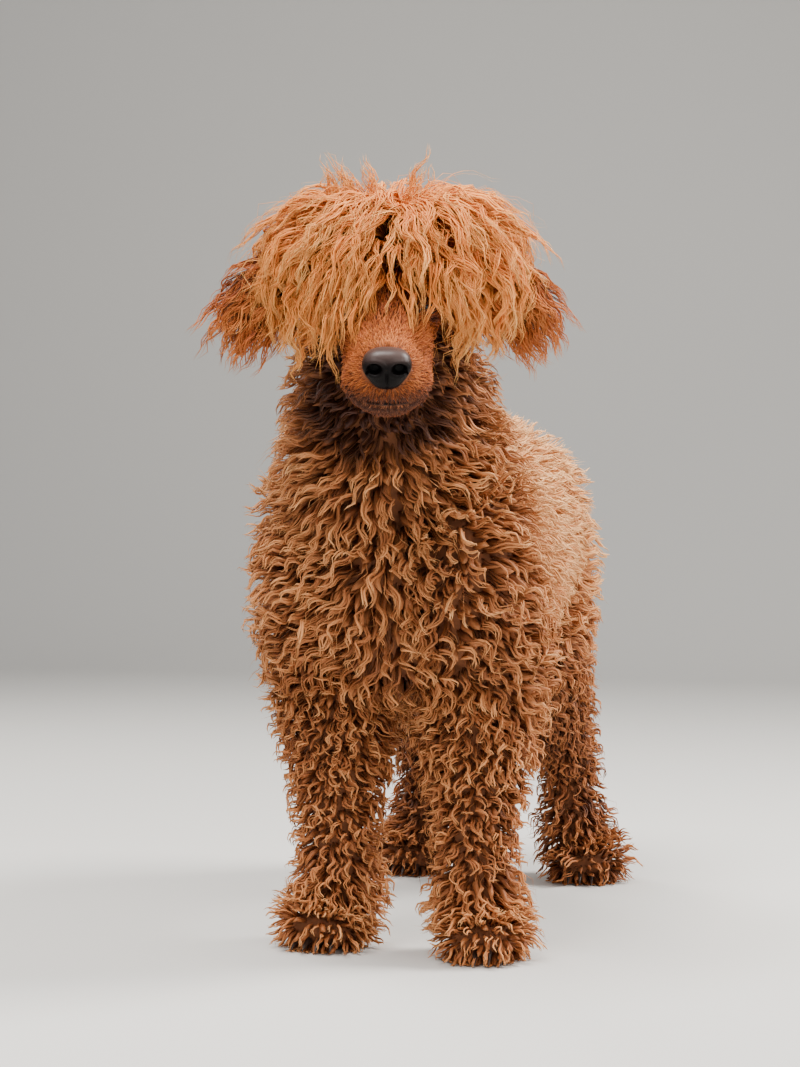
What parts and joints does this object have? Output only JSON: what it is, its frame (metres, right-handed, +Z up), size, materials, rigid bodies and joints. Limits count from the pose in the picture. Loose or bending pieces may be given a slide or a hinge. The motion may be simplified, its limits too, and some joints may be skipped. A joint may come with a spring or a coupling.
{
  "type": "standard poodle",
  "caption": "Life-size standing standard poodle with a shaggy unclipped coat, wavy mop over the eyes and drop ears, head turned to its left.",
  "frame": {"origin": "on the floor, under the middle of the whole model's box", "axes": "+Z up; the dog faces -Y and its tail points to +Y; +X is the dog's own left side"},
  "size_m": [0.3478, 0.846, 0.7586],
  "materials": {
    "coat": "curly apricot wool, soft and matte",
    "face_and_mop": "short orange fur on the muzzle and long wavy golden locks on the crown, matte",
    "ear_hair": "long rust-orange hair, slightly glossy",
    "nose": "moist dark brown, fine grain",
    "eye": "dark brown, wet and glossy"
  },
  "bodies": {
    "root": {"head": "face_and_mop", "nose": "nose", "eye_left": "eye", "eye_right": "eye", "ear_left": "ear_hair", "ear_right": "ear_hair", "neck": "coat", "torso": "coat", "tail": "coat", "foreleg_left": "coat", "foreleg_right": "coat", "hindleg_left": "coat", "hindleg_right": "coat"}
  },
  "joints": []
}
